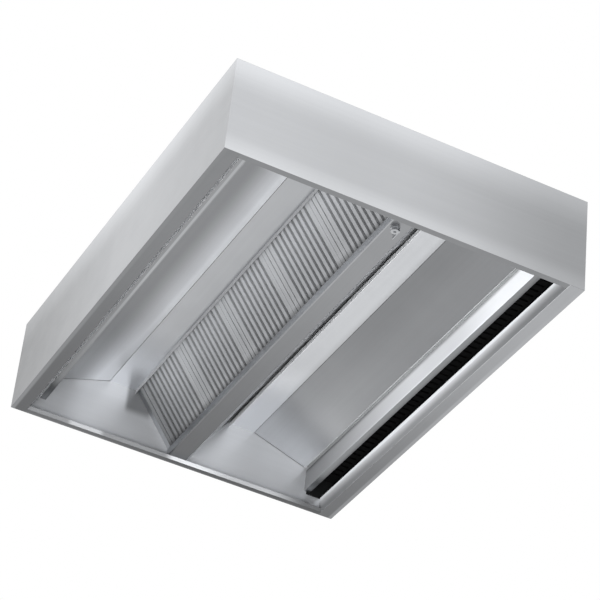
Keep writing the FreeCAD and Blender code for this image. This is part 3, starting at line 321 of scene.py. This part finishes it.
def ceilings():
    # Painted light and shade: the front sloped panel's tone rises and falls across Y and is lighter
    # towards -X.
    dress("sloped_panel_front", brushed("stainless_panel_front", 0.82, metallic=0.85, fades=(
        ("Y", -0.66, -0.42, 0.36, 1.15), ("Y", -0.78, -0.70, 1.4, 1.0), ("Y", -0.50, -0.44, 1.0, 1.25),
        ("X", -1.3, -0.5, 1.4, 0.98))))
    # foot: a painted lit strip at the rear sloped panel's lower border; the rear panel's low tone and its
    # fades are painted shade and light.
    foot_painted_light = ((("Y", 0.7700, 0.7712), ("Z", 0.2, 0.264)),
            (0.5, ("X", -1.3, -0.2, 0.7, 1.0), ("X", 0.7, 1.1, 1.0, 0.7)), 0.0)
    dress("sloped_panel_rear", brushed("stainless_panel_rear", 0.3, zones=(foot_painted_light,), fades=(
        ("X", -1.3, 0.1, 1.32, 0.86), ("X", -1.3, -0.6, 1.85, 1.08), ("Y", 0.5, 0.66, 0.95, 1.05))))
    # lip_up_painted_shade: painted shade on the front downturned strip; the front ceiling's lower tone and
    # its fade, lighter towards -X, are painted light and shade.
    lip_up_painted_shade = ((("Y", -0.2890, -0.2870), ("Z", 0.34, 0.3730)), (0.36,), 0.2)
    dress("inner_ceiling_front", brushed("stainless_ceiling_front", 0.49, zones=(lip_up_painted_shade,), fades=(
        ("X", -1.3, -0.5, 2.1, 1.02),)))
    # mouth: a painted highlight, bright and matt, on the rear downturned strip; the rear ceiling's fades
    # paint it lighter towards -X and darker towards +Y.
    mouth_painted_highlight = ((("Y", 0.28, 0.2878),), (1.0, ("X", -1.3, -0.5, 0.75, 1.0)), 0.0)
    dress("inner_ceiling_rear", brushed("stainless_ceiling_rear", 0.67, zones=(mouth_painted_highlight,), fades=(
        ("X", -1.0, -0.5, 1.62, 1.0), ("Y", 0.405, 0.44, 1.0, 0.86))))


def filter_bank():
    dress("bank_cheek", brushed("stainless_cheeks", 0.5, "Y"))
    # Painted light and shade on the trough. bottom: darker towards -X; bevel: a painted highlight along
    # the bevelled strip; wall: the front face lighter towards +X and darker low down.
    bottom_painted_shade = ((("Z", 0.02, 0.0256),), (0.6, ("X", -1.5, 1.2, 0.24, 0.58)), 1.0)
    bevel = ((("Y", -0.0545, -0.036), ("Z", 0.0, 0.031)), (0.8, ("X", -1.5, 1.2, 0.24, 0.58)), 1.0)
    wall = ((("Y", -0.055, -0.054), ("Z", 0.031, 0.08)), (0.57, ("Z", 0.03, 0.045, 0.9, 1.0),
            ("X", -0.9, -0.3, 0.8, 1.05), ("X", -0.3, 0.6, 1.0, 1.4)), 1.0)
    dress("grease_trough", brushed("stainless_trough", 0.6, zones=(wall, bevel, bottom_painted_shade)))
    dress("filter_rest", brushed("stainless_rests", 0.5))
    # shade and rear_shade: painted shade on the filters, in front darker towards -X and low down, at the
    # rear darker near the ceiling; the two banks' different base tones are painted light and shade too.
    shade = (("X", -1.3, -0.9, 0.55, 1.0), ("Z", 0.12, 0.34, 0.64, 1.0), ("Z", 0.075, 0.11, 0.4, 1.0))
    rear_shade = (("Z", 0.285, 0.32, 1.0, 0.05),)
    for number in range(1, 6):
        for part, grain in (("frame", "X"), ("baffles", "Z")):
            dress(f"filter_front_{number}_{part}", brushed(
                f"{part}_front_{number}", 0.43, grain, metallic=0.5, fades=shade))
            dress(f"filter_rear_{number}_{part}", brushed(
                f"{part}_rear_{number}", 0.54, grain, metallic=0.5, fades=rear_shade))


def paint():
    dress("", brushed("stainless", 0.6))
    dress("side_wall_front", side_wall_front())
    dress("side_wall_rear", side_wall_rear())
    dress("end_wall_right", end_wall_right())
    dress("end_wall_left", end_wall_left())
    plenum_faces()
    ceilings()
    filter_bank()
    coated = zinc("zinc_sheet", 0.58)
    for prefix in ("roof_panel", "exhaust_", "supply_", "slide_guides", "filter_channel"):
        dress(prefix, coated)
    # the diffuser's near-black tone is painted shade inside the slots
    dress("air_diffuser", blackened("diffuser_painted_shade", 0.005))
    # plenum backing: a dark tone, painted shade in the grooves behind the panels; shelf: a painted lit
    # strip on it.
    shelf_painted_light = ((("Y", 0.76, 0.81), ("Z", 0.25, 0.29)), (0.34, ("X", -1.3, -0.2, 0.75, 1.0)), 0.0)
    dress("plenum_backing", zinc("backing_sheet_painted_shade", 0.1, zones=(shelf_painted_light,)))
    # rear filter channel: a near-white, less metallic copy of the zinc sheet, painted light.
    dress("filter_channel_rear", zinc("channel_sheet_painted_light", 0.95, 0.3))
    dress("hanger_brackets", plated("zinc_plate", 0.6, 0.3, ZINC))
    dress("bracket_bolts", plated("bolt_plate", 0.62, 0.25, ZINC))
    dress("roof_rivets", plated("rivet_steel", 0.6, 0.3, STEEL))
    dress("drain_cock", plated("nickel", 0.5, 0.24, STEEL))
    dress("drain_locknut", plated("nickel_nut", 0.5, 0.24, STEEL))
    dress("drain_cock_lever", brushed("lever_steel", 0.62, "X", 0.28))


# ------------------------------------------------------------ studio

CAMERA_PLACE = (9.7012, -4.1756, -7.2392)
CAMERA_AXES = ((0.45819149, 0.48502792, 0.74485467),
               (0.88404522, -0.33571849, -0.32520324),
               (0.09232883, 0.80749056, -0.58260997))
CAMERA_LENS = 152.238
FLOOR_HEIGHT = -7.7
FLOOR_HALF = 40.0
FLOOR_TONE = 0.85
SKY_LIGHT = 0.7


def ray_mix(tree, rays, seen, lit):
    """Shows one surface to the named kinds of ray, another to the rest."""
    path = tree.nodes.new("ShaderNodeLightPath")
    total = path.outputs[rays[0]]
    for ray in rays[1:]:
        node = tree.nodes.new("ShaderNodeMath")
        node.operation = "MAXIMUM"
        tree.links.new(total, node.inputs[0])
        tree.links.new(path.outputs[ray], node.inputs[1])
        total = node.outputs[0]
    mix = tree.nodes.new("ShaderNodeMixShader")
    tree.links.new(total, mix.inputs[0])
    tree.links.new(lit, mix.inputs[1])
    tree.links.new(seen, mix.inputs[2])
    return mix.outputs[0]


def make_world():
    world = bpy.data.worlds.new("studio")
    bpy.context.scene.world = world
    world.use_nodes = True
    tree = world.node_tree
    tree.nodes.clear()
    seen = tree.nodes.new("ShaderNodeBackground")
    seen.inputs["Color"].default_value = (1, 1, 1, 1)
    seen.inputs["Strength"].default_value = 1.0
    lit = tree.nodes.new("ShaderNodeBackground")
    lit.inputs["Color"].default_value = (1, 1, 1, 1)
    lit.inputs["Strength"].default_value = SKY_LIGHT
    output = tree.nodes.new("ShaderNodeOutputWorld")
    rays = ("Is Camera Ray", "Is Glossy Ray", "Is Transmission Ray")
    tree.links.new(ray_mix(tree, rays, seen.outputs[0], lit.outputs[0]), output.inputs["Surface"])


def make_floor():
    mesh = bpy.data.meshes.new("floor")
    half = FLOOR_HALF
    corners = [(-half, -half, FLOOR_HEIGHT), (half, -half, FLOOR_HEIGHT),
               (half, half, FLOOR_HEIGHT), (-half, half, FLOOR_HEIGHT)]
    mesh.from_pydata(corners, [], [(0, 1, 2, 3)])
    floor = bpy.data.objects.new("floor", mesh)
    bpy.context.scene.collection.objects.link(floor)
    material = bpy.data.materials.new("pale_floor")
    material.use_nodes = True
    tree = material.node_tree
    tree.nodes.clear()
    plain = tree.nodes.new("ShaderNodeBsdfDiffuse")
    plain.inputs["Color"].default_value = (FLOOR_TONE, FLOOR_TONE, FLOOR_TONE, 1)
    white = tree.nodes.new("ShaderNodeEmission")
    output = tree.nodes.new("ShaderNodeOutputMaterial")
    rays = ("Is Glossy Ray", "Is Transmission Ray")
    tree.links.new(ray_mix(tree, rays, white.outputs[0], plain.outputs[0]), output.inputs["Surface"])
    mesh.materials.append(material)


def soft_lamp(name, place, target, size, power):
    """A square area lamp that lights the object but isn't mirrored in it."""
    light = bpy.data.lights.new(name, "AREA")
    light.shape = "RECTANGLE"
    light.size, light.size_y = size
    light.energy = power
    lamp = bpy.data.objects.new(name, light)
    lamp.location = place
    lamp.rotation_euler = (Vector(target) - Vector(place)).to_track_quat("-Z", "Y").to_euler()
    lamp.visible_glossy = False
    bpy.context.scene.collection.objects.link(lamp)


def make_camera():
    data = bpy.data.cameras.new("camera")
    data.lens = CAMERA_LENS
    data.sensor_width = 36
    data.clip_end = 200
    camera = bpy.data.objects.new("camera", data)
    camera.matrix_world = Matrix.Translation(CAMERA_PLACE) @ Matrix(CAMERA_AXES).to_4x4()
    bpy.context.scene.collection.objects.link(camera)
    bpy.context.scene.camera = camera


paint()
for node in NODES.values():
    soften_edges(node)
make_world()
make_floor()
soft_lamp("key", (6, -6, 4), (0, 0, 0), (9, 9), 100)
soft_lamp("low_fill", (5, -3.6, -6.2), (0, 0, 0.2), (4, 4), 1000)
soft_lamp("front_fill", (1.5, -8.5, -6.3), (0, 0, 0.2), (5, 5), 500)
make_camera()
bpy.context.scene.view_settings.view_transform = "Standard"
